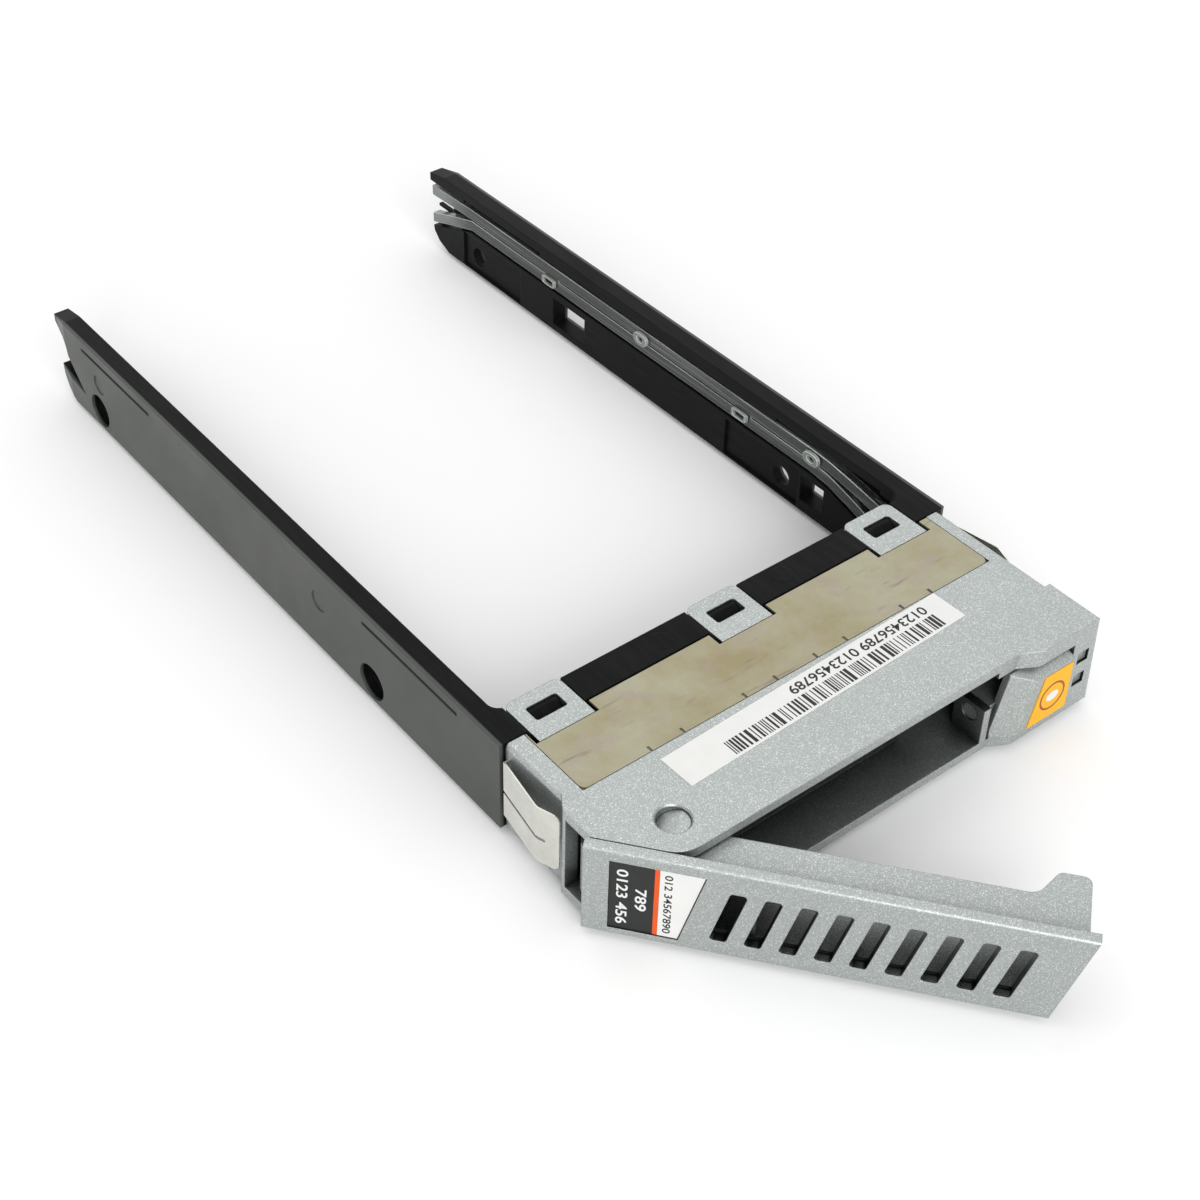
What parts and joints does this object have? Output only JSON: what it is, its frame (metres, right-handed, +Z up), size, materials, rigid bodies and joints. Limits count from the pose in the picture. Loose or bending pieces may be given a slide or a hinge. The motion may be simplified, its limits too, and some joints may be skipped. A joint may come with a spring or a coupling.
{
  "type": "hot swap drive caddy",
  "caption": "Hot swap drive caddy for a 2.5 inch 15 mm drive: black moulded rails, silver cast bezel, slotted ejector lever standing open, rocking release button, grounding springs",
  "frame": {"origin": "on the plane of the bezel's face, in the middle of the caddy's width, at the underside of the rails", "axes": "x to the right seen from the front, y from the bezel towards the drive's connector, z up"},
  "size_m": [0.0796, 0.1829, 0.0157],
  "materials": {
    "rail_plastic": "satin",
    "silver_paint": "satin",
    "button_plastic": "satin",
    "spring_steel": "satin",
    "contact_metal": "satin",
    "clear_plastic": "gloss",
    "label_dark": "matte",
    "label_white": "matte",
    "label_amber": "matte"
  },
  "bodies": {
    "caddy": {"rail_frame": "rail_plastic", "bezel": "silver_paint", "lever_spring": "spring_steel", "button_spring": "spring_steel", "light_guide": "clear_plastic", "emi_spring_left": "spring_steel", "emi_spring_right": "spring_steel", "emi_contact_plate": "contact_metal", "emi_finger_strip": "spring_steel", "top_label": "label_white"},
    "lever": {"lever": "silver_paint", "lever_label": "label_dark"},
    "button": {"release_button": "button_plastic", "button_label": "label_amber"}
  },
  "joints": [
    {"name": "lever_swing", "type": "hinge", "parent": "caddy", "child": "lever", "pos_m": [-0.0289, 0.0067, 0.0073], "axis": [0, 0, 1], "range_deg": [0, 51], "stiffness_Nm_per_rad": 0.004, "springref_deg": -34.38, "deforming": ["lever_spring"]},
    {"name": "button_press", "type": "hinge", "parent": "caddy", "child": "button", "pos_m": [0.027, 0.004, 0.0054], "axis": [-1, 0, 0], "range_deg": [0, 11], "stiffness_Nm_per_rad": 0.01, "springref_deg": -11.46, "deforming": ["button_spring"]}
  ]
}
